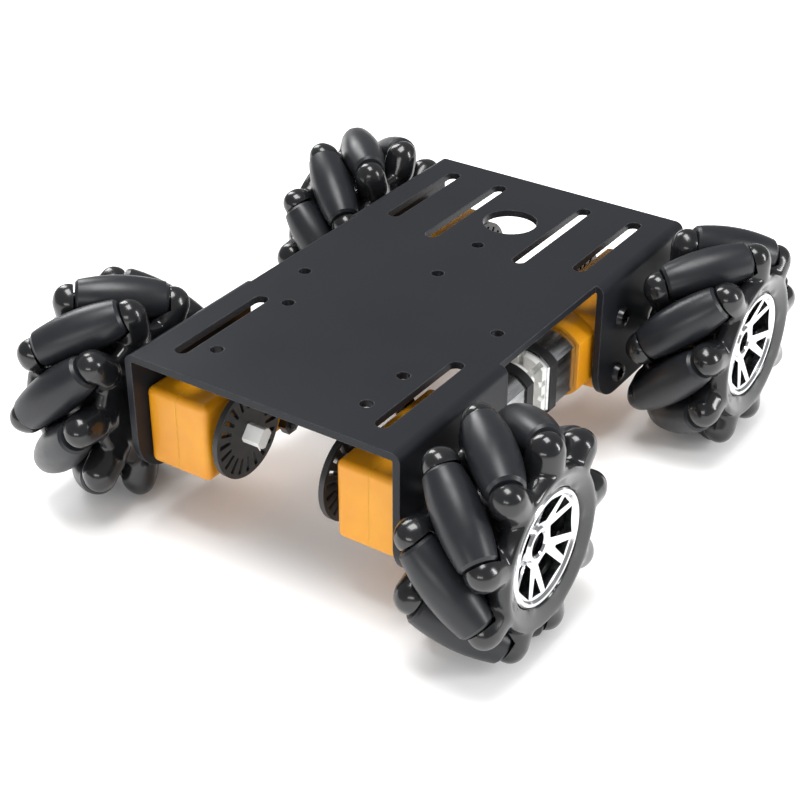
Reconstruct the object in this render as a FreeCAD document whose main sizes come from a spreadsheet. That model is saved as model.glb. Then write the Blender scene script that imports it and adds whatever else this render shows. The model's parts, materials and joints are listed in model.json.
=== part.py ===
import FreeCAD, Part
import math
import os
import re

import Sketcher
from FreeCAD import Placement, Rotation, Vector

# A four-wheel robot chassis on roller wheels.
# Millimetres, +Z up, origin on the ground under the middle of the chassis.
# The front end faces -Y and the right-hand side faces +X.

DIMENSIONS = {
    # folded sheet-metal plate
    "plate_flat_width": 77.5,
    "plate_length": 144.0,
    "plate_thickness": 2.0,
    "plate_top": 52.5,
    "bend_radius": 2.5,
    "flange_start": 24.5,
    "flange_bottom": 15.3,
    "flange_corner": 11.0,
    "plate_corner": 2.0,
    "slot_width": 4.0,
    "outer_slot_x": 30.3,
    "outer_slot_near": 29.2,
    "outer_slot_far": 64.6,
    "inner_slot_x": 14.2,
    "inner_slot_near": 24.2,
    "plate_hole": 3.5,
    "cable_hole": 15.5,
    "cable_hole_y": 45.0,
    "shaft_opening": 7.5,
    # wheel axes
    "wheel_x": 59.5,
    "wheel_y": 56.5,
    "wheel_radius": 30.0,
    # rollers
    "roller_circle": 23.95,
    "roller_mid_radius": 6.05,
    "roller_end_radius": 4.7,
    "roller_half_length": 12.0,
    "roller_edge": 0.7,
    "trunnion_radius": 1.2,
    "trunnion_half_length": 15.0,
    # wheel hub
    "hub_half_width": 12.0,
    "hub_lip_x": 14.2,
    "hub_lip_radius": 19.9,
    "hub_drum_radius": 17.0,
    "hub_ring_inner_x": 8.8,
    "hub_cavity_radius": 13.2,
    "hub_floor": -9.5,
    "boss_radius": 5.6,
    "boss_end": -17.2,
    "tube_radius": 5.6,
    "tube_bore": 2.9,
    "screw_hole": 1.3,
    "ear_radius": 4.1,
    "ear_drop": 0.6,
    "ear_face": 12.5,
    "ear_dome": 13.6,
    "ear_root_radius": 5.0,
    "roller_gap": 0.45,
    "socket_clearance": 0.05,
    # rim insert
    "rim_radius": 14.8,
    "rim_ring": 13.1,
    "rim_face": 12.5,
    "rim_seat": 8.8,
    "rim_hub_radius": 4.3,
    "rim_dish": 2.6,
    "rim_spoke_depth": 2.0,
    # output shaft with the final gear
    "shaft_radius": 2.7,
    "shaft_flat": 3.7,
    "shaft_outer_end": 18.9,
    "shaft_inner_end": 19.2,
    "final_gear_radius": 9.0,
    "final_gear_half_width": 2.4,
    # encoder disc
    "disc_radius": 12.5,
    "disc_thickness": 1.5,
    "disc_face": 15.6,
    "disc_slot_inner": 7.0,
    "disc_slot_outer": 11.3,
    "disc_slot_width": 1.3,
    # gearbox
    "gearbox_width": 19.4,
    "gearbox_height": 22.5,
    "gearbox_nose": 11.3,
    "gearbox_tail": 29.5,
    "neck_end": 38.0,
    "neck_wall": 1.1,
    "gearbox_wall": 1.6,
    "gearbox_rounding": 1.8,
    "gearbox_post": 16.8,
    "screw_y": 20.5,
    "screw_z": 8.8,
    "running_clearance": 0.05,
    # motor
    "motor_radius": 10.0,
    "motor_flat": 7.5,
    "motor_start": 24.0,
    "motor_end": 52.2,
    "bell_end": 54.4,
    "bell_inset": 0.8,
    "bell_notch": 6.1,
    "strap_start": 48.6,
    "strap_end": 51.9,
    "strap_wall": 0.5,
    # fasteners
    "screw_radius": 1.5,
    "screw_head_radius": 2.75,
    "screw_head_height": 1.9,
    "screw_length": 25.0,
    "nut_flats": 5.5,
    "nut_height": 2.4,
}

ROLLERS = 9
RIM_SPOKES = 5
DISC_SLOTS = 20
GEAR_TEETH = 30
ROLLER_ANGLE = 45.0
SHAFT_FLAT_ANGLE = 21.0

# corner name, side (+1 right), end (-1 front), hand of the rollers, wheel angle, rim angle
CORNERS = (
    ("front_right", 1, -1, 1, 22.0, -104.0),
    ("front_left", -1, -1, -1, 20.0, 14.0),
    ("rear_right", 1, 1, -1, 29.0, -97.0),
    ("rear_left", -1, 1, 1, 11.0, 40.0),
)

doc = FreeCAD.newDocument("wheel_robot")
sheet = doc.addObject("Spreadsheet::Sheet", "sizes")
for row, (alias, number) in enumerate(DIMENSIONS.items(), start=1):
    sheet.set("A%d" % row, str(number))
    sheet.setAlias("A%d" % row, alias)
doc.recompute()

nodes = {}


# ---------------------------------------------------------------- helpers

def bound(text):
    """The expression with each named size pointing at its cell."""
    def point(match):
        word = match.group()
        return "sizes." + word if word in DIMENSIONS else word
    return re.sub(r"[a-z][a-z_]*", point, str(text))


def value(text):
    """The number that a named size or an expression of named sizes gives."""
    return float(sheet.evalExpression(bound(text)))


def new_body(name):
    body = doc.addObject("PartDesign::Body", name)
    body.Label = name
    return body


def new_sketch(body, role, offset=None):
    """A sketch on one of the body's own origin planes."""
    plane = [p for p in body.Origin.OriginFeatures if p.Role == role][0]
    sketch = body.newObject("Sketcher::SketchObject", body.Name + "_sketch")
    sketch.AttachmentSupport = [(plane, "")]
    sketch.MapMode = "FlatFace"
    if offset is not None:
        sketch.AttachmentOffset = Placement(Vector(0, 0, offset), Rotation())
    return sketch


def pin(sketch, geometry, position, x, y):
    """Hold a point of the sketch at a place given by two expressions."""
    for kind, text in (("DistanceX", x), ("DistanceY", y)):
        number = value(text)
        if abs(number) < 1e-9:
            line = -2 if kind == "DistanceX" else -1
            sketch.addConstraint(Sketcher.Constraint("PointOnObject", geometry, position, line))
            continue
        index = sketch.addConstraint(
            Sketcher.Constraint(kind, -1, 1, geometry, position, number))
        sketch.setExpression("Constraints[%d]" % index, bound(text))


def add_arc(sketch, start, middle, end):
    """An arc through three points; also returns which of its ends is which."""
    curve = Part.Arc(start, middle, end).toShape().Curve
    centre = curve.Center
    left_turn = (middle - start).cross(end - middle).z > 0
    first, last = (start, end) if left_turn else (end, start)
    low = math.atan2(first.y - centre.y, first.x - centre.x)
    high = math.atan2(last.y - centre.y, last.x - centre.x)
    if high < low:
        high += 2 * math.pi
    circle = Part.Circle(centre, Vector(0, 0, 1), curve.Radius)
    item = sketch.addGeometry(Part.ArcOfCircle(circle, low, high), False)
    ends = (1, 2) if left_turn else (2, 1)
    return item, ends


def add_outline(sketch, corners):
    """A closed outline through corners, each a pair of expressions.

    A third entry names the bulge point of an arc that ends at that corner.
    """
    places = [Vector(value(c[0]), value(c[1]), 0) for c in corners]
    first = None
    previous = None
    for number, corner in enumerate(corners):
        start = places[number - 1]
        end = places[number]
        if len(corner) > 2:
            middle = Vector(value(corner[2][0]), value(corner[2][1]), 0)
            item, ends = add_arc(sketch, start, middle, end)
        else:
            item = sketch.addGeometry(Part.LineSegment(start, end), False)
            ends = (1, 2)
        if previous is None:
            first = (item, ends)
        else:
            sketch.addConstraint(Sketcher.Constraint(
                "Coincident", previous[0], previous[1][1], item, ends[0]))
        previous = (item, ends)
        pin(sketch, item, ends[1], corner[0], corner[1])
    sketch.addConstraint(Sketcher.Constraint(
        "Coincident", previous[0], previous[1][1], first[0], first[1][0]))


def add_circle(sketch, x, y, radius):
    centre = Vector(value(x), value(y), 0)
    circle = Part.Circle(centre, Vector(0, 0, 1), value(radius))
    item = sketch.addGeometry(circle, False)
    index = sketch.addConstraint(Sketcher.Constraint("Radius", item, value(radius)))
    sketch.setExpression("Constraints[%d]" % index, bound(radius))
    pin(sketch, item, 3, x, y)


def add_slot(sketch, x, near, far, width):
    """A round-ended slot along the sketch's second axis."""
    half = value(width) / 2
    low = min(value(near), value(far)) + half
    high = max(value(near), value(far)) - half
    across = value(x)
    bottom = sketch.addGeometry(Part.ArcOfCircle(
        Part.Circle(Vector(across, low, 0), Vector(0, 0, 1), half), math.pi, 2 * math.pi), False)
    right = sketch.addGeometry(Part.LineSegment(
        Vector(across + half, low, 0), Vector(across + half, high, 0)), False)
    top = sketch.addGeometry(Part.ArcOfCircle(
        Part.Circle(Vector(across, high, 0), Vector(0, 0, 1), half), 0, math.pi), False)
    left = sketch.addGeometry(Part.LineSegment(
        Vector(across - half, high, 0), Vector(across - half, low, 0)), False)
    for a, a_end, b, b_end in ((bottom, 2, right, 1), (right, 2, top, 1),
                               (top, 2, left, 1), (left, 2, bottom, 1)):
        sketch.addConstraint(Sketcher.Constraint("Tangent", a, a_end, b, b_end))
    index = sketch.addConstraint(Sketcher.Constraint("Radius", bottom, half))
    sketch.setExpression("Constraints[%d]" % index, bound("%s / 2" % width))
    low_text, high_text = (near, far) if value(near) < value(far) else (far, near)
    pin(sketch, bottom, 3, x, "%s + %s / 2" % (low_text, width))
    index = sketch.addConstraint(
        Sketcher.Constraint("DistanceY", -1, 1, top, 3, high))
    sketch.setExpression("Constraints[%d]" % index, bound("%s - %s / 2" % (high_text, width)))


def pad(body, sketch, length, midplane=False, reverse=False):
    feature = body.newObject("PartDesign::Pad", body.Name + "_pad")
    feature.Profile = sketch
    feature.setExpression("Length", bound(length))
    feature.Midplane = midplane
    feature.Reversed = reverse
    doc.recompute()
    return feature


def pocket(body, sketch, length, midplane=False, reverse=False):
    """Cut the sketch out of the body, and make sure that it did cut."""
    doc.recompute()
    before = body.Shape.Volume
    feature = body.newObject("PartDesign::Pocket", body.Name + "_pocket")
    feature.Profile = sketch
    feature.setExpression("Length", bound(length))
    feature.Midplane = midplane
    feature.Reversed = reverse
    doc.recompute()
    if body.Shape.Volume >= before - 1e-6:
        raise RuntimeError("pocket in %s cut nothing" % body.Label)
    return feature


def revolve(body, sketch, axis="H_Axis"):
    feature = body.newObject("PartDesign::Revolution", body.Name + "_turned")
    feature.Profile = sketch
    feature.ReferenceAxis = (sketch, [axis])
    feature.Angle = 360.0
    doc.recompute()
    return feature


def polar(body, original, axis_role, count):
    """Repeat a feature round one of the body's own axes."""
    axis = [a for a in body.Origin.OriginFeatures if a.Role == axis_role][0]
    feature = body.newObject("PartDesign::PolarPattern", body.Name + "_pattern")
    feature.Originals = [original]
    feature.Axis = (axis, [""])
    feature.Angle = 360.0
    feature.Occurrences = count
    body.Tip = feature
    doc.recompute()
    return feature


def round_edges(body, radius, wanted):
    """Fillet the edges of the body that the test picks out."""
    base = body.Tip
    names = ["Edge%d" % (i + 1) for i, e in enumerate(base.Shape.Edges) if wanted(e)]
    if not names:
        raise RuntimeError("no edge to round on %s" % body.Label)
    feature = body.newObject("PartDesign::Fillet", body.Name + "_fillet")
    feature.Base = (base, names)
    feature.setExpression("Radius", bound(radius))
    doc.recompute()
    return feature


def along(edge, direction):
    """True for a straight edge in the given direction."""
    if not isinstance(edge.Curve, (Part.Line, Part.LineSegment)):
        return False
    run = edge.Vertexes[-1].Point - edge.Vertexes[0].Point
    return abs(abs(run.normalize().dot(direction)) - 1) < 1e-6


def group(name, members):
    """Identical pieces that share a node, kept as separate solids."""
    compound = doc.addObject("Part::Compound", name)
    compound.Label = name
    compound.Links = members
    doc.recompute()
    nodes[name] = compound


# ---------------------------------------------------------------- places

def motor_place(side, end):
    """From a motor's own frame (+X outwards, +Y to the middle) to the robot's."""
    across = value("plate_flat_width / 2 + bend_radius - plate_thickness - gearbox_width / 2")
    where = Vector(side * across, end * value("wheel_y"), value("wheel_radius"))
    if side > 0:
        turn = Rotation() if end < 0 else Rotation(Vector(1, 0, 0), 180)
    else:
        turn = Rotation(Vector(0, 1, 0), 180) if end < 0 else Rotation(Vector(0, 0, 1), 180)
    return Placement(where, turn)


def wheel_place(side, end, angle):
    """From a wheel's own frame (+X outwards) to the robot's, turned by angle."""
    where = Vector(side * value("wheel_x"), end * value("wheel_y"), value("wheel_radius"))
    turn = Rotation() if side > 0 else Rotation(Vector(0, 0, 1), 180)
    return Placement(where, turn).multiply(Placement(Vector(), Rotation(Vector(1, 0, 0), angle)))


def roller_place(hand, number):
    """A roller's place in the wheel's frame; its own axis is X."""
    step = Placement(Vector(), Rotation(Vector(1, 0, 0), 360.0 / ROLLERS * number))
    tilt = Placement(Vector(0, value("roller_circle"), 0),
                     Rotation(Vector(0, 1, 0), -hand * ROLLER_ANGLE))
    return step.multiply(tilt)


# ---------------------------------------------------------------- chassis

def make_chassis_plate():
    """Flat deck with a bent-down flange for each motor, slots and holes."""
    body = new_body("chassis_plate")
    half = "plate_flat_width / 2"
    end = "plate_length / 2"
    deck = new_sketch(body, "XY_Plane", value("plate_top - plate_thickness"))
    add_outline(deck, (("-" + half, "-" + end), (half, "-" + end), (half, end), ("-" + half, end)))
    pad(body, deck, "plate_thickness")

    outer = "%s + bend_radius" % half
    inner = "%s + bend_radius - plate_thickness" % half
    start_z = "plate_top - bend_radius"
    diagonal = 0.70710678
    for side in (-1, 1):
        for end_side in (-1, 1):
            offset = -value("plate_length / 2") if end_side > 0 else value("flange_start")
            fold = new_sketch(body, "XZ_Plane", offset)
            sign = "" if side > 0 else "-1 * "
            bulge_out = ("%s(%s + bend_radius * %f)" % (sign, half, diagonal),
                         "%s + bend_radius * %f" % (start_z, diagonal))
            small = "(bend_radius - plate_thickness)"
            bulge_in = ("%s(%s + %s * %f)" % (sign, half, small, diagonal),
                        "%s + %s * %f" % (start_z, small, diagonal))
            add_outline(fold, (
                ("%s(%s)" % (sign, half), "plate_top - plate_thickness", bulge_in),
                ("%s(%s)" % (sign, half), "plate_top"),
                ("%s(%s)" % (sign, outer), start_z, bulge_out),
                ("%s(%s)" % (sign, outer), "flange_bottom"),
                ("%s(%s)" % (sign, inner), "flange_bottom"),
                ("%s(%s)" % (sign, inner), start_z)))
            pad(body, fold, "plate_length / 2 - flange_start")

    bottom = value("flange_bottom")
    round_edges(body, "flange_corner", lambda e: along(e, Vector(1, 0, 0))
                and abs(e.Vertexes[0].Point.z - bottom) < 1e-6)

    holes = new_sketch(body, "XY_Plane", value("plate_top - plate_thickness"))
    outer_reach = ("outer_slot_near", "outer_slot_far")
    for side in ("-", ""):
        add_slot(holes, side + "outer_slot_x", outer_reach[0], outer_reach[1], "slot_width")
        add_slot(holes, side + "outer_slot_x", "-" + outer_reach[0], "-" + outer_reach[1],
                 "slot_width")
        add_slot(holes, side + "inner_slot_x", "inner_slot_near", "outer_slot_far", "slot_width")
        add_circle(holes, side + "outer_slot_x", "-11.8", "plate_hole / 2")
    add_circle(holes, "0", "cable_hole_y", "cable_hole / 2")
    for x, y in (("0", "27.5"), ("0", "7.2"), ("-23.3", "-28.5"), ("-23.3", "-57.8"),
                 ("22.2", "-42.3"), ("22.2", "-57.8")):
        add_circle(holes, x, y, "plate_hole / 2")
    pocket(body, holes, "plate_thickness", reverse=True)

    side_holes = new_sketch(body, "YZ_Plane")
    for end_sign in ("-", ""):
        add_circle(side_holes, end_sign + "wheel_y", "wheel_radius", "shaft_opening / 2")
        for rise in ("+", "-"):
            add_circle(side_holes, "%s(wheel_y - screw_y)" % (end_sign + "1 * "),
                       "wheel_radius %s screw_z" % rise, "screw_radius + 0.1")
    pocket(body, side_holes, "plate_flat_width * 2", midplane=True)
    nodes[body.Label] = body


# ---------------------------------------------------------------- motors

def make_gearbox_shell(label, sign):
    """One half of a gearbox: sign +1 is the half against the flange."""
    body = new_body(label)
    outline = new_sketch(body, "YZ_Plane")
    half = "gearbox_height / 2"
    add_outline(outline, (("-gearbox_nose", "-" + half), ("gearbox_tail", "-" + half),
                          ("gearbox_tail", half), ("-gearbox_nose", half)))
    pad(body, outline, "gearbox_width / 2", reverse=sign < 0)
    face = sign * value("gearbox_width / 2")
    round_edges(body, "gearbox_rounding", lambda e: along(e, Vector(1, 0, 0))
                or abs(e.BoundBox.XMin - face) + abs(e.BoundBox.XMax - face) < 1e-6)
    hollow = new_sketch(body, "YZ_Plane")
    inside = "(gearbox_height / 2 - gearbox_wall)"
    add_outline(hollow, (("gearbox_wall - gearbox_nose", "-1 * " + inside),
                         ("gearbox_post", "-1 * " + inside),
                         ("gearbox_post", inside),
                         ("gearbox_wall - gearbox_nose", inside)))
    pocket(body, hollow, "gearbox_width / 2 - gearbox_wall", reverse=sign > 0)
    neck = new_sketch(body, "XZ_Plane", -value("gearbox_tail"))
    add_outline(neck, half_outline("neck_wall", sign))
    pad(body, neck, "neck_end - gearbox_tail", reverse=True)
    seat = new_sketch(body, "XZ_Plane", -value("neck_end"))
    add_outline(seat, motor_outline("0.02"))
    pocket(body, seat, "neck_end - motor_start + 0.2", reverse=True)
    bores = new_sketch(body, "YZ_Plane")
    add_circle(bores, "0", "0", "shaft_radius + running_clearance")
    add_circle(bores, "screw_y", "screw_z", "screw_radius + 0.1")
    add_circle(bores, "screw_y", "-screw_z", "screw_radius + 0.1")
    pocket(body, bores, "gearbox_width / 2", reverse=sign > 0)
    return body


def motor_outline(grow):
    """A round can with two flats, grown outwards all round."""
    radius = "(motor_radius + %s)" % grow
    flat = "(motor_flat + %s)" % grow
    rise = "sqrt(%s * %s - %s * %s)" % (radius, radius, flat, flat)
    return (("-1 * " + flat, "-1 * " + rise),
            (flat, "-1 * " + rise, ("0", "-1 * " + radius)),
            (flat, rise),
            ("-1 * " + flat, rise, ("0", radius)))


def half_outline(grow, sign):
    """The part of the grown can outline on one side of the parting plane."""
    radius = "(motor_radius + %s)" % grow
    flat = "(motor_flat + %s)" % grow
    rise = "sqrt(%s * %s - %s * %s)" % (radius, radius, flat, flat)
    side = "%d * " % sign
    bulge_x = "%s %s * 0.4" % (side, radius)
    bulge_z = "%s * sqrt(0.84)" % radius
    return (("0", "-1 * " + radius),
            (side + flat, "-1 * " + rise, (bulge_x, "-1 * " + bulge_z)),
            (side + flat, rise),
            ("0", radius, (bulge_x, bulge_z)))


def make_motor_can(label):
    body = new_body(label)
    section = new_sketch(body, "XZ_Plane", -value("motor_start"))
    add_outline(section, motor_outline("0"))
    can = pad(body, section, "motor_end - motor_start", reverse=True)
    far = value("motor_end")
    trim = body.newObject("PartDesign::Chamfer", label + "_chamfer")
    rim = [i for i, e in enumerate(can.Shape.Edges) if abs(e.BoundBox.YMin - far) < 1e-6]
    trim.Base = (can, ["Edge%d" % (i + 1) for i in rim])
    trim.Size = 0.5
    doc.recompute()
    recess = new_sketch(body, "XZ_Plane", -value("motor_end"))
    add_circle(recess, "0", "0", "6.5")
    pocket(body, recess, "1", reverse=True)
    return body


def make_end_bell(label):
    """The plastic end of the motor, with notches round its edge."""
    body = new_body(label)
    plug = new_sketch(body, "XZ_Plane", -value("motor_end - 1"))
    add_circle(plug, "0", "0", "6.45")
    pad(body, plug, "1.2", reverse=True)
    cap = new_sketch(body, "XZ_Plane", -value("motor_end"))
    add_outline(cap, motor_outline("-bell_inset"))
    pad(body, cap, "bell_end - motor_end", reverse=True)
    notch = new_sketch(body, "XZ_Plane", -value("motor_end + 0.5"))
    add_outline(notch, (("-0.8", "bell_notch"), ("0.8", "bell_notch"),
                        ("0.8", "motor_radius"), ("-0.8", "motor_radius")))
    cut = pocket(body, notch, "bell_end - motor_end", reverse=False)
    polar(body, cut, "Y_Axis", 10)
    nose = new_sketch(body, "XZ_Plane", -value("bell_end"))
    add_circle(nose, "0", "0", "3")
    pad(body, nose, "1.1", reverse=True)
    return body


def make_strap(label):
    """The band that holds the can in the gearbox."""
    body = new_body(label)
    section = new_sketch(body, "XZ_Plane", -value("strap_start"))
    add_outline(section, motor_outline("strap_wall"))
    pad(body, section, "strap_end - strap_start", reverse=True)
    inside = new_sketch(body, "XZ_Plane", -value("strap_start"))
    add_outline(inside, motor_outline("0"))
    pocket(body, inside, "strap_end - strap_start", reverse=False)
    return body


def make_motor_screw(label):
    """A pan-head screw along X, its head outside the flange."""
    body = new_body(label)
    profile = new_sketch(body, "XZ_Plane")
    add_outline(profile, (("0", "0"), ("screw_head_height", "0"),
                          ("screw_head_height - 0.5", "screw_head_radius - 0.35"),
                          ("0", "screw_head_radius"), ("0", "screw_radius"),
                          ("0.4 - screw_length", "screw_radius"),
                          ("-screw_length", "screw_radius - 0.4"), ("-screw_length", "0")))
    revolve(body, profile)
    cross = new_sketch(body, "YZ_Plane", value("screw_head_height"))
    add_outline(cross, (("-1.5", "-0.3"), ("-0.3", "-0.3"), ("-0.3", "-1.5"), ("0.3", "-1.5"),
                        ("0.3", "-0.3"), ("1.5", "-0.3"), ("1.5", "0.3"), ("0.3", "0.3"),
                        ("0.3", "1.5"), ("-0.3", "1.5"), ("-0.3", "0.3"), ("-1.5", "0.3")))
    pocket(body, cross, "1.1")
    return body


def make_motor_nut(label):
    body = new_body(label)
    outline = new_sketch(body, "YZ_Plane")
    corner = "(nut_flats / sqrt(3))"
    points = []
    for index in range(6):
        angle = 60 * index
        points.append(("%s * cos(%d deg)" % (corner, angle), "%s * sin(%d deg)" % (corner, angle)))
    add_outline(outline, points)
    pad(body, outline, "nut_height", reverse=True)
    hole = new_sketch(body, "YZ_Plane")
    add_circle(hole, "0", "0", "screw_radius")
    pocket(body, hole, "nut_height")
    return body


def make_motors():
    """The four gearmotors and their fasteners, all fixed to the plate."""
    kinds = {
        "gearbox_outer_shells": lambda n: make_gearbox_shell(n, 1),
        "gearbox_inner_shells": lambda n: make_gearbox_shell(n, -1),
        "motor_cans": make_motor_can,
        "motor_end_bells": make_end_bell,
        "motor_straps": make_strap,
    }
    for name, make in kinds.items():
        members = []
        for corner, side, end, _hand, _angle, _rim in CORNERS:
            body = make("%s_%s" % (name[:-1], corner))
            body.Placement = motor_place(side, end)
            members.append(body)
        group(name, members)
    screws = []
    nuts = []
    outside = value("gearbox_width / 2 + plate_thickness")
    inside = -value("gearbox_width / 2")
    for corner, side, end, _hand, _angle, _rim in CORNERS:
        for level, rise in (("upper", 1), ("lower", -1)):
            place = motor_place(side, end)
            height = rise * value("screw_z")
            screw = make_motor_screw("motor_screw_%s_%s" % (level, corner))
            screw.Placement = place.multiply(
                Placement(Vector(outside, value("screw_y"), height), Rotation()))
            screws.append(screw)
            nut = make_motor_nut("motor_nut_%s_%s" % (level, corner))
            nut.Placement = place.multiply(
                Placement(Vector(inside, value("screw_y"), height), Rotation()))
            nuts.append(nut)
    group("motor_screws", screws)
    group("motor_nuts", nuts)


# ---------------------------------------------------------------- wheels

def make_roller(label, place):
    """A barrel roller with a stub axle at each end, turned about its own axis."""
    body = new_body(label)
    profile = new_sketch(body, "XZ_Plane")
    half = "roller_half_length"
    tip = "trunnion_half_length"
    add_outline(profile, (
        ("-" + tip, "0"), (tip, "0"), (tip, "trunnion_radius"), (half, "trunnion_radius"),
        (half, "roller_end_radius - roller_edge"),
        (half + " - roller_edge", "roller_end_radius"),
        ("roller_edge - " + half, "roller_end_radius", ("0", "roller_mid_radius")),
        ("-" + half, "roller_end_radius - roller_edge"),
        ("-" + half, "trunnion_radius"), ("-" + tip, "trunnion_radius")))
    revolve(body, profile)
    body.Placement = place
    nodes[label] = body


def turned_solid(profile):
    """A solid turned about X from a closed outline of (x, radius) points."""
    points = [Vector(x, 0, r) for x, r in profile]
    wire = Part.makePolygon(points + points[:1])
    return Part.Face(wire).revolve(Vector(), Vector(1, 0, 0), 360)


def roller_clearance():
    """The space that one roller sweeps, grown by the gap round it."""
    gap = value("roller_gap")
    half = value("ear_face")
    end = value("roller_end_radius") + gap
    top = Vector(0, 0, value("roller_mid_radius") + gap)
    left = Vector(-half, 0, end)
    right = Vector(half, 0, end)
    edges = [Part.makeLine(Vector(-half, 0, 0), Vector(half, 0, 0)),
             Part.makeLine(Vector(half, 0, 0), right),
             Part.Arc(right, top, left).toShape(),
             Part.makeLine(left, Vector(-half, 0, 0))]
    barrel = Part.Face(Part.Wire(edges)).revolve(Vector(), Vector(1, 0, 0), 360)
    socket_radius = value("trunnion_radius + socket_clearance")
    reach = value("trunnion_half_length + 0.2")
    socket = Part.makeCylinder(socket_radius, 2 * reach, Vector(-reach, 0, 0), Vector(1, 0, 0))
    return barrel.fuse(socket)


def roller_ear(end):
    """A domed ear at one end of a roller, with its arm down to the hub's ring."""
    radius = value("ear_radius")
    drop = value("ear_drop")
    face = value("ear_face")
    dome = value("ear_dome")
    barrel = Part.makeCylinder(radius, dome - face + 0.3, Vector(end * (face - 0.3), -drop, 0),
                               Vector(end, 0, 0))
    ball = Part.makeSphere(radius, Vector(end * dome, -drop, 0))
    return barrel.fuse(ball)


def ear_arm(hand, end):
    """A tapered arm from the hub's ring out to an ear, in the wheel's frame."""
    place = roller_place(hand, 0)
    centre = place.multVec(Vector(end * value("ear_dome"), -value("ear_drop"), 0))
    outward = Vector(0, centre.y, centre.z)
    reach = outward.Length
    outward.normalize()
    foot_radius = value("hub_drum_radius") - 2
    foot = Vector(centre.x * 0.82, outward.y * foot_radius, outward.z * foot_radius)
    return Part.makeCone(value("ear_root_radius"), value("ear_radius") - 0.1,
                         reach - foot_radius, foot, centre - foot)


def shaft_bar(grow, start, end):
    """A double-flat bar along X."""
    radius = value("shaft_radius") + grow
    flat = value("shaft_flat") / 2 + grow
    bar = Part.makeCylinder(radius, end - start, Vector(start, 0, 0), Vector(1, 0, 0))
    block = Part.makeBox(end - start, 2 * flat, 4 * radius, Vector(start, -flat, -2 * radius))
    flats = bar.common(block)
    return flats.rotate(Vector(), Vector(1, 0, 0), SHAFT_FLAT_ANGLE)


def make_hub_shape(hand):
    """A moulded wheel centre: drum, dished lip, ears at both ends of each roller."""
    half = value("hub_half_width")
    lip_x = value("hub_lip_x")
    lip = value("hub_lip_radius")
    drum = value("hub_drum_radius")
    ring_x = value("hub_ring_inner_x")
    cavity = value("hub_cavity_radius")
    floor = value("hub_floor")
    seat = value("rim_seat")
    pocket_radius = value("rim_radius + 0.05")
    face = value("rim_face")
    core = turned_solid((
        (value("boss_end"), value("screw_hole")), (value("boss_end"), value("boss_radius")),
        (-half, value("boss_radius") + 1.5), (-half, lip - 1.6), (-half + 1.2, lip - 0.4),
        (-ring_x, lip - 0.4), (-ring_x + 1, drum), (ring_x - 1, drum), (ring_x, lip + 0.3),
        (half - 0.6, lip + 1.2), (lip_x - 0.5, lip + 0.5), (lip_x, lip - 0.2),
        (lip_x - 0.2, lip - 0.9), (face - 0.1, pocket_radius + 0.3), (face - 0.4, pocket_radius),
        (seat, pocket_radius), (seat, cavity), (floor + 0.6, cavity),
        (floor, cavity - 0.6), (floor, value("tube_radius")),
        (seat - 0.4, value("tube_radius")), (seat - 0.4, value("tube_bore")),
        (floor, value("tube_bore")), (floor, value("screw_hole"))))
    pieces = []
    for number in range(ROLLERS):
        step = Placement(Vector(), Rotation(Vector(1, 0, 0), 360.0 / ROLLERS * number))
        for end in (-1, 1):
            ear = roller_ear(end)
            ear.Placement = roller_place(hand, number)
            arm = ear_arm(hand, end)
            arm.Placement = step
            pieces += [ear, arm]
    body = core.multiFuse(pieces)
    cuts = []
    for number in range(ROLLERS):
        cut = roller_clearance()
        cut.Placement = roller_place(hand, number)
        cuts.append(cut)
    shaft_end = value("shaft_outer_end") - hub_to_gearbox()
    cuts.append(shaft_bar(0.02, value("boss_end") - 1, shaft_end + 0.05))
    inside = turned_solid(((floor, value("tube_radius")), (seat - 0.4, value("tube_radius")),
                           (seat - 0.4, cavity), (floor + 0.6, cavity), (floor, cavity - 0.6)))
    rim_pocket = turned_solid(((seat, 0), (lip_x + 1, 0), (lip_x + 1, pocket_radius),
                               (seat, pocket_radius)))
    cuts += [inside, rim_pocket]
    for cut in cuts:
        body = body.cut(cut)
    whole = max(body.Solids, key=lambda s: s.Volume)
    return whole.removeSplitter()


def hub_to_gearbox():
    """How far the wheel's middle stands outside the gearbox's middle."""
    return value("wheel_x - plate_flat_width / 2 - bend_radius + plate_thickness"
                 " + gearbox_width / 2")


def make_hub(label, shape, place):
    hub = doc.addObject("Part::Feature", label)
    hub.Label = label
    hub.Shape = shape
    hub.Placement = place
    nodes[label] = hub


def window(sketch, angle, inner, outer, inner_half, outer_half):
    """A window between two radii round a direction, wider or narrower outwards."""
    turn = math.radians(angle)
    corners = []
    for radius, half in ((inner, -inner_half), (outer, -outer_half),
                         (outer, outer_half), (inner, inner_half)):
        y = radius * math.cos(turn) - half * math.sin(turn)
        z = radius * math.sin(turn) + half * math.cos(turn)
        corners.append(("%.4f" % y, "%.4f" % z))
    add_outline(sketch, corners)


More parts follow.
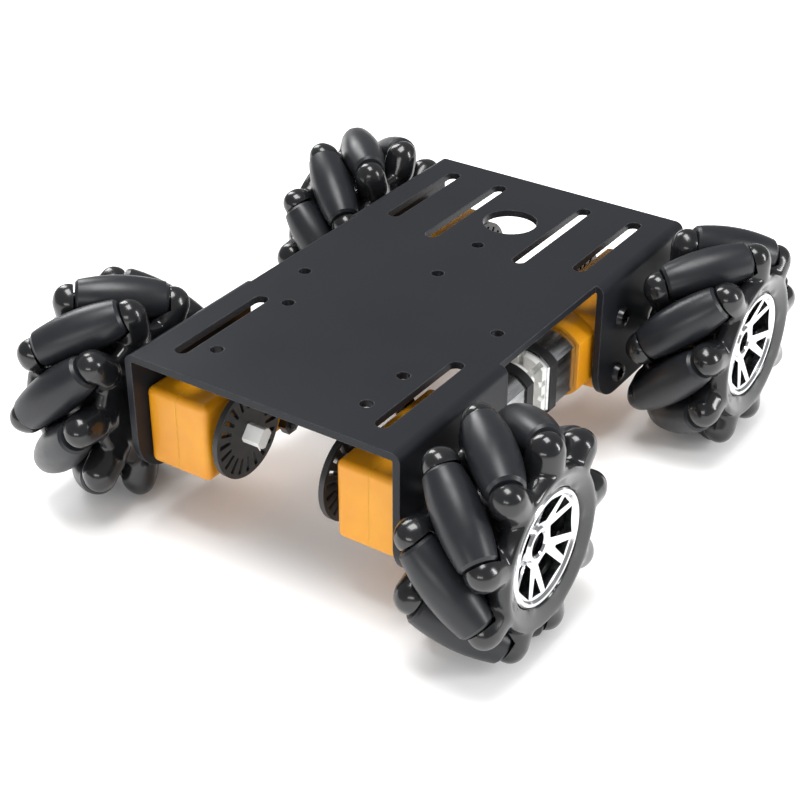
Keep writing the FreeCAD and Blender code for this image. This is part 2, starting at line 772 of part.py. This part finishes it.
def make_rim(label, place):
    """Bright rim insert: five split spokes in a dished ring."""
    body = new_body(label)
    profile = new_sketch(body, "XZ_Plane")
    add_outline(profile, (
        ("rim_seat", "rim_ring + 0.6"), ("rim_seat", "rim_radius"),
        ("rim_face - 0.4", "rim_radius"), ("rim_face", "rim_radius - 0.4"),
        ("rim_face", "rim_ring + 0.5"), ("rim_face - 0.7", "rim_ring"),
        ("rim_face - rim_dish - 0.4", "rim_hub_radius + 0.5"),
        ("rim_face - rim_dish + 0.2", "rim_hub_radius"),
        ("rim_face - rim_dish + 0.2", "tube_bore + 0.5"),
        ("rim_face - rim_dish - 0.3", "tube_bore"),
        ("rim_seat - 0.4", "tube_bore"), ("rim_seat - 0.4", "rim_hub_radius"),
        ("rim_face - 0.9 - rim_spoke_depth", "rim_ring - 0.3")))
    revolve(body, profile)
    cuts = new_sketch(body, "YZ_Plane", value("rim_seat - 1"))
    window(cuts, 0, 8.4, 12.4, 0.3, 2.1)
    window(cuts, 180.0 / RIM_SPOKES, 5.6, 12.3, 1.9, 4.0)
    windows = pocket(body, cuts, "6", reverse=True)
    polar(body, windows, "X_Axis", RIM_SPOKES)
    body.Placement = place
    nodes[label] = body


def make_shaft_shape():
    """Output shaft with its final gear, in the gearbox's frame."""
    radius = value("shaft_radius")
    inner = -value("shaft_inner_end")
    outer = value("shaft_outer_end")
    round_half = value("gearbox_width / 2") + 0.3
    middle = Part.makeCylinder(radius, 2 * round_half, Vector(-round_half, 0, 0), Vector(1, 0, 0))
    shaft = middle.fuse([shaft_bar(0, inner, -round_half), shaft_bar(0, round_half, outer)])
    half = value("final_gear_half_width")
    root = value("final_gear_radius") - 1.1
    gear = Part.makeCylinder(root, 2 * half, Vector(-half, 0, 0), Vector(1, 0, 0))
    teeth = []
    for number in range(GEAR_TEETH):
        tooth = Part.makeBox(2 * half, 0.8, value("final_gear_radius"),
                             Vector(-half, -0.4, 0))
        tooth.rotate(Vector(), Vector(1, 0, 0), 360.0 / GEAR_TEETH * number)
        teeth.append(tooth)
    edge = Part.makeCylinder(value("final_gear_radius"), 2 * half, Vector(-half, 0, 0),
                             Vector(1, 0, 0))
    teeth_shape = teeth[0].multiFuse(teeth[1:]).common(edge)
    return shaft.fuse([gear, teeth_shape]).removeSplitter()


def make_shaft(label, shape, place):
    shaft = doc.addObject("Part::Feature", label)
    shaft.Label = label
    shaft.Shape = shape
    shaft.Placement = place.multiply(Placement(Vector(-hub_to_gearbox(), 0, 0), Rotation()))
    nodes[label] = shaft


def make_disc(label, place):
    """Slotted disc on the inner end of the shaft."""
    body = new_body(label)
    face = new_sketch(body, "YZ_Plane")
    add_circle(face, "0", "0", "disc_radius")
    pad(body, face, "disc_thickness")
    slot = new_sketch(body, "YZ_Plane")
    half = "disc_slot_width / 2"
    add_outline(slot, (("disc_slot_inner", "-0.35 * disc_slot_width"),
                       ("disc_slot_outer", "-" + half), ("disc_slot_outer", half),
                       ("disc_slot_inner", "0.35 * disc_slot_width")))
    slots = pocket(body, slot, "disc_thickness", reverse=True)
    polar(body, slots, "X_Axis", DISC_SLOTS)
    hole = new_sketch(body, "YZ_Plane")
    flat = "(shaft_flat / 2)"
    rise = "sqrt(shaft_radius * shaft_radius - %s * %s)" % (flat, flat)
    add_outline(hole, (("-1 * " + flat, "-1 * " + rise),
                       (flat, "-1 * " + rise, ("0", "-shaft_radius")),
                       (flat, rise),
                       ("-1 * " + flat, rise, ("0", "shaft_radius"))))
    pocket(body, hole, "disc_thickness", reverse=True)
    turn = Rotation(Vector(1, 0, 0), SHAFT_FLAT_ANGLE)
    inwards = value("disc_face - wheel_x")
    body.Placement = place.multiply(Placement(Vector(inwards, 0, 0), turn))
    nodes[label] = body


def make_wheels():
    hubs = {1: make_hub_shape(1), -1: make_hub_shape(-1)}
    shaft = make_shaft_shape()
    for corner, side, end, hand, angle, rim_angle in CORNERS:
        place = wheel_place(side, end, angle)
        make_hub("wheel_hub_" + corner, hubs[hand], place)
        make_rim("rim_insert_" + corner, wheel_place(side, end, rim_angle))
        make_shaft("output_shaft_" + corner, shaft, place)
        make_disc("encoder_disc_" + corner, place)
        for number in range(ROLLERS):
            make_roller("roller_%s_%d" % (corner, number + 1),
                        place.multiply(roller_place(hand, number)))


make_chassis_plate()
make_motors()
make_wheels()
doc.recompute()

for item in doc.Objects:
    if "Invalid" in item.State or "Error" in item.State:
        raise RuntimeError("%s failed: %s" % (item.Label, item.State))
os.makedirs("parts", exist_ok=True)
for name, item in nodes.items():
    if item.Shape.isNull() or not item.Shape.isValid():
        raise RuntimeError("%s has no valid shape" % name)
    item.Shape.exportStep("parts/%s.step" % name)
print("%d nodes written" % len(nodes))
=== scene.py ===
import json
import math

import bmesh
import bpy
from mathutils import Matrix, Vector


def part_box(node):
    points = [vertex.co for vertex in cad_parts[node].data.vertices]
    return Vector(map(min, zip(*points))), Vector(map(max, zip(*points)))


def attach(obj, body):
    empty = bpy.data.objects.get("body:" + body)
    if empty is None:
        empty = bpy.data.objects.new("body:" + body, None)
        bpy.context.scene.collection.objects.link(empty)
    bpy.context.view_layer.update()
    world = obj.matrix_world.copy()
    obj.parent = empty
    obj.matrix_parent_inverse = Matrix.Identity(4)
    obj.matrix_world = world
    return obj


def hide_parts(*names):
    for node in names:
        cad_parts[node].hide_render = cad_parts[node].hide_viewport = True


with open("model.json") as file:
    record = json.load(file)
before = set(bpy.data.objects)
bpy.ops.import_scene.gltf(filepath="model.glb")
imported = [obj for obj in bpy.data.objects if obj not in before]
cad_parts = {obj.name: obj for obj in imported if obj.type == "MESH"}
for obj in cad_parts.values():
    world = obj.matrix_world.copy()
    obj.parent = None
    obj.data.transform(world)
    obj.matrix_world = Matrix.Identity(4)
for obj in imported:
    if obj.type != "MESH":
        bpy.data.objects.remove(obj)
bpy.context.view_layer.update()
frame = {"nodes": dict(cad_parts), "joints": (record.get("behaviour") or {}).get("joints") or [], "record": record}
NODES = frame["nodes"]
JOINTS = {j["name"]: j for j in frame["joints"]}
CORNERS = ("front_right", "front_left", "rear_right", "rear_left")
ROLLERS = 9
scene = bpy.context.scene


# ------------------------------------------------------------------ materials

class Finish:
    """A small builder for procedural node materials."""

    def __init__(self, name):
        self.material = bpy.data.materials.new(name)
        self.material.use_nodes = True
        self.tree = self.material.node_tree
        self.shader = next(n for n in self.tree.nodes if n.type == "BSDF_PRINCIPLED")
        coords = self.tree.nodes.new("ShaderNodeTexCoord")
        self.where = coords.outputs["Object"]
        self.rounded = None

    def set(self, **values):
        for key, given in values.items():
            self.shader.inputs[key.replace("_", " ")].default_value = given
        return self

    def link(self, a, b):
        self.tree.links.new(a, b)

    def noise(self, scale, detail=4.0, roughness=0.55, stretch=None):
        node = self.tree.nodes.new("ShaderNodeTexNoise")
        node.inputs["Scale"].default_value = scale
        node.inputs["Detail"].default_value = detail
        node.inputs["Roughness"].default_value = roughness
        source = self.where
        if stretch:
            mapping = self.tree.nodes.new("ShaderNodeMapping")
            mapping.inputs["Scale"].default_value = stretch
            self.link(source, mapping.inputs["Vector"])
            source = mapping.outputs["Vector"]
        self.link(source, node.inputs["Vector"])
        return node.outputs["Fac"]

    def spread(self, fac, low, high, start=0.3, end=0.7):
        node = self.tree.nodes.new("ShaderNodeMapRange")
        node.inputs["From Min"].default_value = start
        node.inputs["From Max"].default_value = end
        node.inputs["To Min"].default_value = low
        node.inputs["To Max"].default_value = high
        self.link(fac, node.inputs["Value"])
        return node.outputs["Result"]

    def mix(self, fac, a, b):
        node = self.tree.nodes.new("ShaderNodeMix")
        node.data_type = "RGBA"
        sockets = [s for s in node.inputs if s.type == "RGBA"]
        for socket, given in zip(sockets, (a, b)):
            if isinstance(given, tuple):
                socket.default_value = (*given, 1.0)
            else:
                self.link(given, socket)
        self.link(fac, node.inputs["Factor"])
        return next(s for s in node.outputs if s.type == "RGBA")

    def edges(self, low=0.52, high=0.58):
        """1 on convex edges, 0 on faces."""
        geometry = self.tree.nodes.new("ShaderNodeNewGeometry")
        return self.spread(geometry.outputs["Pointiness"], 0.0, 1.0, low, high)

    def corners(self, radius=0.0004):
        """1 along sharp edges, 0 on faces; also keeps the rounded normal for the bump."""
        bevel = self.tree.nodes.new("ShaderNodeBevel")
        bevel.samples = 4
        bevel.inputs["Radius"].default_value = radius
        geometry = self.tree.nodes.new("ShaderNodeNewGeometry")
        dot = self.tree.nodes.new("ShaderNodeVectorMath")
        dot.operation = "DOT_PRODUCT"
        self.link(bevel.outputs["Normal"], dot.inputs[0])
        self.link(geometry.outputs["Normal"], dot.inputs[1])
        self.rounded = bevel.outputs["Normal"]
        return self.spread(dot.outputs["Value"], 1.0, 0.0, 0.88, 0.985)

    def colour(self, socket):
        self.link(socket, self.shader.inputs["Base Color"])
        return self

    def rough(self, socket):
        self.link(socket, self.shader.inputs["Roughness"])
        return self

    def bump(self, height, strength, distance):
        node = self.tree.nodes.new("ShaderNodeBump")
        node.inputs["Strength"].default_value = strength
        node.inputs["Distance"].default_value = distance
        self.link(height, node.inputs["Height"])
        if self.rounded:
            self.link(self.rounded, node.inputs["Normal"])
        self.link(node.outputs["Normal"], self.shader.inputs["Normal"])
        return self


def multiply(finish, a, b):
    node = finish.tree.nodes.new("ShaderNodeMath")
    node.operation = "MULTIPLY"
    finish.link(a, node.inputs[0])
    finish.link(b, node.inputs[1])
    return node.outputs[0]


def plate_finish():
    f = Finish("satin_black_plate").set(Metallic=0.0, IOR=1.45, Specular_IOR_Level=0.2)
    broad = f.noise(18, 3)
    base = f.mix(f.spread(broad, 0.0, 1.0), (0.0115, 0.0125, 0.0155), (0.0135, 0.0147, 0.018))
    dust = f.spread(f.noise(2600, 3, 0.6), 0.0, 0.10, 0.66, 0.8)
    dusted = f.mix(dust, base, (0.05, 0.05, 0.052))
    # lighter grey along sharp edges: painted edge highlight, broken up by noise like edge wear
    edge_wear_and_highlight = f.mix(multiply(f, f.corners(), f.spread(f.noise(700, 4), 0.25, 0.8)), dusted,
                 (0.10, 0.10, 0.105))
    f.colour(edge_wear_and_highlight)
    f.rough(f.spread(f.noise(45, 4), 0.31, 0.37))
    return f.bump(f.noise(6000, 2), 0.05, 0.00002)


def rubber_finish():
    f = Finish("black_roller_rubber").set(Metallic=0.0, Specular_IOR_Level=0.4)
    broad = f.noise(90, 4)
    specks = f.spread(f.noise(2600, 5, 0.7), 0.0, 0.5, 0.6, 0.75)
    base = f.mix(f.spread(broad, 0.0, 1.0), (0.0095, 0.0105, 0.013), (0.013, 0.014, 0.0165))
    f.colour(f.mix(multiply(f, specks, broad), base, (0.03, 0.03, 0.032)))
    f.rough(f.spread(f.noise(160, 5), 0.30, 0.42))
    return f.bump(f.noise(2400, 5), 0.10, 0.00004)


def hub_finish():
    f = Finish("glossy_black_moulding").set(Metallic=0.0, Specular_IOR_Level=0.45,
                                            Coat_Weight=0.25, Coat_Roughness=0.08)
    base = f.mix(f.spread(f.noise(110, 4), 0.0, 1.0), (0.006, 0.0063, 0.007), (0.011, 0.0115, 0.0125))
    # lighter on convex edges: painted edge highlight, broken up by noise like wear
    f.colour(f.mix(multiply(f, f.edges(0.54, 0.62), f.noise(500, 4)), base, (0.03, 0.03, 0.032)))
    f.rough(f.spread(f.noise(130, 5), 0.16, 0.27))
    return f.bump(f.noise(900, 4), 0.10, 0.00005)


def gearbox_finish():
    f = Finish("amber_gearbox_plastic").set(Metallic=0.0, Specular_IOR_Level=0.5,
                                            Subsurface_Weight=0.12, Subsurface_Scale=0.0015)
    f.shader.inputs["Subsurface Radius"].default_value = (1.0, 0.45, 0.08)
    base = f.mix(f.spread(f.noise(55, 4), 0.0, 1.0), (0.58, 0.225, 0.004), (0.68, 0.295, 0.007))
    # lighter amber along sharp edges: painted edge highlight
    f.colour(f.mix(f.corners(0.0005), base, (0.76, 0.36, 0.015)))
    f.rough(f.spread(f.noise(200, 5), 0.28, 0.42))
    return f.bump(f.noise(1700, 4), 0.16, 0.00006)


def metal_finish(name, dark, light, low, high, stretch=None, bump=0.1):
    f = Finish(name).set(Metallic=1.0)
    streaks = f.noise(700, 5, 0.6, stretch)
    f.colour(f.mix(f.spread(streaks, 0.0, 1.0), dark, light))
    f.rough(f.spread(f.noise(320, 5, 0.6, stretch), low, high))
    return f.bump(streaks, bump, 0.00003)


def plastic_finish(name, dark, light, low, high):
    f = Finish(name).set(Metallic=0.0, Specular_IOR_Level=0.5)
    base = f.mix(f.spread(f.noise(180, 4), 0.0, 1.0), dark, light)
    # lighter along sharp edges: painted edge highlight
    f.colour(f.mix(f.corners(0.00025), base, tuple(min(1.0, c * 1.4 + 0.01) for c in light)))
    f.rough(f.spread(f.noise(260, 5), low, high))
    return f.bump(f.noise(1900, 4), 0.14, 0.00005)


FINISHES = {
    "plate": plate_finish(),
    "roller": rubber_finish(),
    "hub": hub_finish(),
    "gearbox": gearbox_finish(),
    "can": metal_finish("drawn_steel_can", (0.56, 0.57, 0.58), (0.80, 0.81, 0.82), 0.16, 0.30,
                        (1.0, 0.08, 1.0)),
    "rim": metal_finish("bright_plated_rim", (0.66, 0.67, 0.69), (0.82, 0.83, 0.84), 0.09, 0.2),
    "fastener": metal_finish("black_screw", (0.035, 0.035, 0.037), (0.08, 0.08, 0.083), 0.25, 0.38),
    "shaft": plastic_finish("white_nylon", (0.78, 0.78, 0.75), (0.88, 0.88, 0.86), 0.34, 0.46),
    "bell": plastic_finish("white_motor_end", (0.74, 0.74, 0.71), (0.85, 0.85, 0.83), 0.36, 0.5),
    "strap": plastic_finish("black_strap", (0.010, 0.010, 0.011), (0.016, 0.016, 0.017), 0.3, 0.45),
    "disc": plastic_finish("black_encoder_disc", (0.012, 0.012, 0.012), (0.020, 0.020, 0.021),
                           0.36, 0.5),
    "copper": metal_finish("tinned_copper", (0.62, 0.34, 0.16), (0.80, 0.50, 0.28), 0.22, 0.36),
}


def paint(obj, key):
    obj.data.materials.clear()
    obj.data.materials.append(FINISHES[key].material)
    for polygon in obj.data.polygons:
        polygon.material_index = 0


for part in frame["record"]["subparts"]:
    paint(NODES[part["node"]], part["material_slot"])


# ------------------------------------------------------------------ mesh helpers

def new_object(name, mesh, finish, body):
    obj = bpy.data.objects.new(name, mesh)
    scene.collection.objects.link(obj)
    paint(obj, finish)
    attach(obj, body)
    return obj


def smooth(mesh, degrees=38):
    for polygon in mesh.polygons:
        polygon.use_smooth = True
    mesh.set_sharp_from_angle(angle=math.radians(degrees))


def lathe(profile, steps=48):
    """A closed solid turned about X from (x, radius) pairs."""
    mesh = bmesh.new()
    rings = []
    for x, radius in profile:
        if radius < 1e-9:
            rings.append([mesh.verts.new((x, 0, 0))])
            continue
        ring = []
        for index in range(steps):
            turn = 2 * math.pi * index / steps
            ring.append(mesh.verts.new((x, radius * math.cos(turn), radius * math.sin(turn))))
        rings.append(ring)
    for a, b in zip(rings, rings[1:]):
        for index in range(steps):
            following = (index + 1) % steps
            corners = []
            for vert in (a[index % len(a)], a[following % len(a)],
                         b[following % len(b)], b[index % len(b)]):
                if vert not in corners:
                    corners.append(vert)
            if len(corners) > 2:
                mesh.faces.new(corners)
    bmesh.ops.recalc_face_normals(mesh, faces=mesh.faces)
    return mesh


def to_mesh(bm, name):
    mesh = bpy.data.meshes.new(name)
    bm.to_mesh(mesh)
    bm.free()
    return mesh


def frame_along(origin, axis, up=Vector((0, 0, 1))):
    """A matrix that carries +X onto axis, with its origin at a point."""
    x = Vector(axis).normalized()
    side = up.cross(x)
    if side.length < 1e-6:
        side = Vector((0, 1, 0))
    side.normalize()
    third = x.cross(side)
    matrix = Matrix((x, side, third)).transposed().to_4x4()
    matrix.translation = Vector(origin)
    return matrix


def apply_modifiers(obj):
    graph = bpy.context.evaluated_depsgraph_get()
    graph.update()
    made = bpy.data.meshes.new_from_object(obj.evaluated_get(graph))
    obj.modifiers.clear()
    old = obj.data
    obj.data = made
    bpy.data.meshes.remove(old)


# ------------------------------------------------------------------ wheel hubs
# Lengths in metres.

ROLLER_GAP = 0.00045
ROLLER_MIDDLE, ROLLER_END, ROLLER_HALF = 0.00605, 0.0047, 0.0125
ROLLER_ARC_HALF = 0.012
STUB_RADIUS, STUB_REACH = 0.00125, 0.0152
EAR_RADIUS, EAR_FOOT_RADIUS = 0.0048, 0.0049
EAR_REACH, EAR_SINK = 0.0131, 0.0016
EAR_FOOT_CIRCLE, EAR_FOOT_INWARD = 0.0202, 0.98
HUB_VOXEL, HUB_SMOOTHING, HUB_FACES_KEPT = 0.00045, 16, 0.35


def barrel_profile():
    """The outline of a roller's space with its stub axles, as (x, radius)."""
    sag = ROLLER_MIDDLE - ROLLER_END
    arc = (ROLLER_ARC_HALF ** 2 + sag ** 2) / (2 * sag)
    reach = [ROLLER_HALF * (k / 6 - 1) for k in range(13)]
    barrel = [(x, ROLLER_MIDDLE + ROLLER_GAP - arc + math.sqrt(arc ** 2 - x ** 2)) for x in reach]
    left = [(-STUB_REACH, 0.0), (-STUB_REACH, STUB_RADIUS), (-ROLLER_HALF, STUB_RADIUS)]
    right = [(ROLLER_HALF, STUB_RADIUS), (STUB_REACH, STUB_RADIUS), (STUB_REACH, 0.0)]
    return left + barrel + right


def roller_cutter(corner):
    """The space of all of a wheel's rollers and their stub axles, as one mesh."""
    whole = bmesh.new()
    for number in range(ROLLERS):
        joint = JOINTS["roller_spin_%s_%d" % (corner, number + 1)]
        piece = lathe(barrel_profile(), 40)
        piece.transform(frame_along(joint["pos_m"], joint["axis"]))
        temporary = to_mesh(piece, "cutter_piece")
        whole.from_mesh(temporary)
        bpy.data.meshes.remove(temporary)
    return to_mesh(whole, "cutter")


def add_ears(obj, corner):
    """Round-ended bosses from the ear at each end of a roller down into the ring."""
    whole = bmesh.new()
    whole.from_mesh(obj.data)
    middle = Vector(JOINTS["wheel_spin_" + corner]["pos_m"])
    dome = [(math.cos(math.radians(a)), math.sin(math.radians(a))) for a in range(180, -1, -15)]
    for number in range(ROLLERS):
        joint = JOINTS["roller_spin_%s_%d" % (corner, number + 1)]
        centre = Vector(joint["pos_m"])
        outward = (centre - middle).normalized()
        for end in (-1, 1):
            ear = centre + Vector(joint["axis"]) * end * EAR_REACH - outward * EAR_SINK
            spoke = Vector((0, ear.y - middle.y, ear.z - middle.z))
            foot = middle + spoke.normalized() * EAR_FOOT_CIRCLE
            foot.x = middle.x + (ear.x - middle.x) * EAR_FOOT_INWARD
            length = (foot - ear).length
            start = [(EAR_RADIUS * c, EAR_RADIUS * r) for c, r in dome if c <= 0]
            rest = [(length + EAR_FOOT_RADIUS * c, EAR_FOOT_RADIUS * r) for c, r in dome if c >= 0]
            piece = lathe([(x, max(0.0, r)) for x, r in start + rest], 28)
            piece.transform(frame_along(ear, foot - ear))
            temporary = to_mesh(piece, "ear_piece")
            whole.from_mesh(temporary)
            bpy.data.meshes.remove(temporary)
    whole.to_mesh(obj.data)
    whole.free()


def moulded_hub(corner):
    """The hub with its ears, arms and ring run together like one moulding."""
    source = NODES["wheel_hub_" + corner]
    obj = bpy.data.objects.new("moulded_hub_" + corner, source.data.copy())
    scene.collection.objects.link(obj)
    add_ears(obj, corner)
    remesh = obj.modifiers.new("remesh", "REMESH")
    remesh.mode = "VOXEL"
    remesh.voxel_size = HUB_VOXEL
    soften = obj.modifiers.new("soften", "SMOOTH")
    soften.factor = 0.5
    soften.iterations = HUB_SMOOTHING
    apply_modifiers(obj)
    knife = bpy.data.objects.new("cutter", roller_cutter(corner))
    scene.collection.objects.link(knife)
    cut = obj.modifiers.new("cut", "BOOLEAN")
    cut.operation = "DIFFERENCE"
    cut.solver = "MANIFOLD"
    cut.object = knife
    thin = obj.modifiers.new("thin", "DECIMATE")
    thin.ratio = HUB_FACES_KEPT
    apply_modifiers(obj)
    bpy.data.objects.remove(knife)
    smooth(obj.data, 42)
    paint(obj, "hub")
    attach(obj, "wheel_" + corner)
    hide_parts("wheel_hub_" + corner)


# ------------------------------------------------------------------ small hardware

SCREW_PROFILE_MM = (
    (-11.0, 0.0), (-11.0, 1.1), (-9.45, 1.2), (-9.45, 2.5), (-8.7, 2.5), (-8.2, 2.25),
    (-7.9, 1.6), (-7.8, 0.9), (-8.6, 0.45), (-8.9, 0.0))
AXLE_HEIGHT = 0.030
TAB_SIZE, TAB_THICKNESS, TAB_BEND = 0.0019, 0.00035, 0.0004
TAPER, TAPER_START, TAPER_LENGTH = 0.35, 0.0011, 0.0008
TAB_INSET, TAB_FROM_MIDDLE, TAB_RISE = 0.0067, 0.0023, 0.0045


def wheel_screw(corner):
    """The screw that holds the wheel on its shaft, deep in the hub's tube."""
    joint = JOINTS["wheel_spin_" + corner]
    outward = 1 if joint["pos_m"][0] > 0 else -1
    head = lathe([(x / 1000, r / 1000) for x, r in SCREW_PROFILE_MM], 40)
    head.transform(frame_along(joint["pos_m"], (outward, 0, 0)))
    mesh = to_mesh(head, "wheel_screw")
    smooth(mesh)
    new_object("wheel_screw_" + corner, mesh, "fastener", "wheel_" + corner)


def terminal_tabs(corner):
    """Two bent solder tabs on the motor's end."""
    joint = JOINTS["wheel_spin_" + corner]
    x_side = 1 if joint["pos_m"][0] > 0 else -1
    y_side = 1 if joint["pos_m"][1] > 0 else -1
    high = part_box("motor_end_bells")[1]
    centre_x = x_side * (high.x - TAB_INSET)
    for label, rise in (("upper", 1), ("lower", -1)):
        bm = bmesh.new()
        made = bmesh.ops.create_grid(bm, x_segments=6, y_segments=4, size=0.5)
        for vert in made["verts"]:
            across = vert.co.y * TAB_SIZE
            reach = (vert.co.x + 0.5) * TAB_SIZE
            narrow = 1.0 - TAPER * max(0.0, reach - TAPER_START) / TAPER_LENGTH
            bend = TAB_BEND * math.sin(reach / TAB_SIZE * math.pi / 2)
            vert.co = Vector((across * narrow, reach, bend))
        bmesh.ops.solidify(bm, geom=bm.faces[:], thickness=TAB_THICKNESS)
        bmesh.ops.recalc_face_normals(bm, faces=bm.faces)
        place = Matrix.Translation((centre_x, y_side * TAB_FROM_MIDDLE, AXLE_HEIGHT + rise * TAB_RISE))
        face = Matrix.Diagonal((1, -y_side, rise, 1))
        bm.transform(place @ face)
        bmesh.ops.recalc_face_normals(bm, faces=bm.faces)
        mesh = to_mesh(bm, "terminal")
        smooth(mesh)
        new_object("terminal_%s_%s" % (label, corner), mesh, "copper", "chassis")


for corner in CORNERS:
    moulded_hub(corner)
    wheel_screw(corner)
    terminal_tabs(corner)


# ------------------------------------------------------------------ studio

def area_light(name, place, target, size, power, tint=(1, 1, 1)):
    data = bpy.data.lights.new(name, "AREA")
    data.shape = "RECTANGLE"
    data.size, data.size_y = size
    data.energy = power
    data.color = tint
    light = bpy.data.objects.new(name, data)
    light.location = place
    light.rotation_euler = (Vector(target) - Vector(place)).to_track_quat("-Z", "Y").to_euler()
    scene.collection.objects.link(light)


def studio_floor():
    half = 4.0
    mesh = bpy.data.meshes.new("floor")
    mesh.from_pydata([(-half, -half, 0), (half, -half, 0), (half, half, 0), (-half, half, 0)],
                     [], [(0, 1, 2, 3)])
    obj = bpy.data.objects.new("floor", mesh)
    obj.location = (0, 0, -0.0001)
    scene.collection.objects.link(obj)
    f = Finish("pale_floor").set(Metallic=0.0, Specular_IOR_Level=0.2)
    f.colour(f.mix(f.spread(f.noise(6, 2), 0.0, 1.0), (0.93, 0.93, 0.93), (0.95, 0.95, 0.95)))
    f.rough(f.spread(f.noise(12, 2), 0.75, 0.85))
    mesh.materials.append(f.material)


def studio_light():
    """White room: full strength for camera and diffuse rays, dimmer for reflections."""
    world = bpy.data.worlds.new("studio")
    world.use_nodes = True
    tree = world.node_tree
    background = next(n for n in tree.nodes if n.type == "BACKGROUND")
    background.inputs["Color"].default_value = (1.0, 1.0, 1.0, 1.0)
    path = tree.nodes.new("ShaderNodeLightPath")
    strength = tree.nodes.new("ShaderNodeMapRange")
    strength.inputs["To Min"].default_value = 0.30
    strength.inputs["To Max"].default_value = 1.0
    seen = tree.nodes.new("ShaderNodeMath")
    seen.operation = "MAXIMUM"
    tree.links.new(path.outputs["Is Camera Ray"], seen.inputs[0])
    tree.links.new(path.outputs["Is Diffuse Ray"], seen.inputs[1])
    tree.links.new(seen.outputs[0], strength.inputs["Value"])
    tree.links.new(strength.outputs["Result"], background.inputs["Strength"])
    scene.world = world
    area_light("overhead", (-0.05, -0.10, 0.85), (0, 0, 0.03), (0.5, 0.35), 6.5)
    area_light("left_key", (-0.80, 0.35, 0.60), (0, 0, 0.03), (0.30, 0.60), 5.0)
    area_light("right_strip", (0.85, 0.25, 0.40), (0.05, 0, 0.03), (0.15, 0.5), 4.5)
    area_light("front_low", (0.25, -0.90, 0.30), (0, 0, 0.03), (0.5, 0.15), 1.5)


def studio_camera():
    """A long lens from the front right, looking down on the robot."""
    data = bpy.data.cameras.new("camera")
    data.sensor_width = 36.0
    data.lens = 77.11
    data.clip_start = 0.01
    camera = bpy.data.objects.new("camera", data)
    right = Vector((0.8284, 0.5602, 0.0))
    up = Vector((-0.2955, 0.4370, 0.8496))
    back = Vector((0.4760, -0.7037, 0.5275))
    matrix = Matrix((right, up, back)).transposed().to_4x4()
    matrix.translation = Vector((0.2209, -0.3375, 0.2665))
    camera.matrix_world = matrix
    scene.collection.objects.link(camera)
    scene.camera = camera


studio_floor()
studio_light()
studio_camera()
scene.view_settings.view_transform = "Standard"
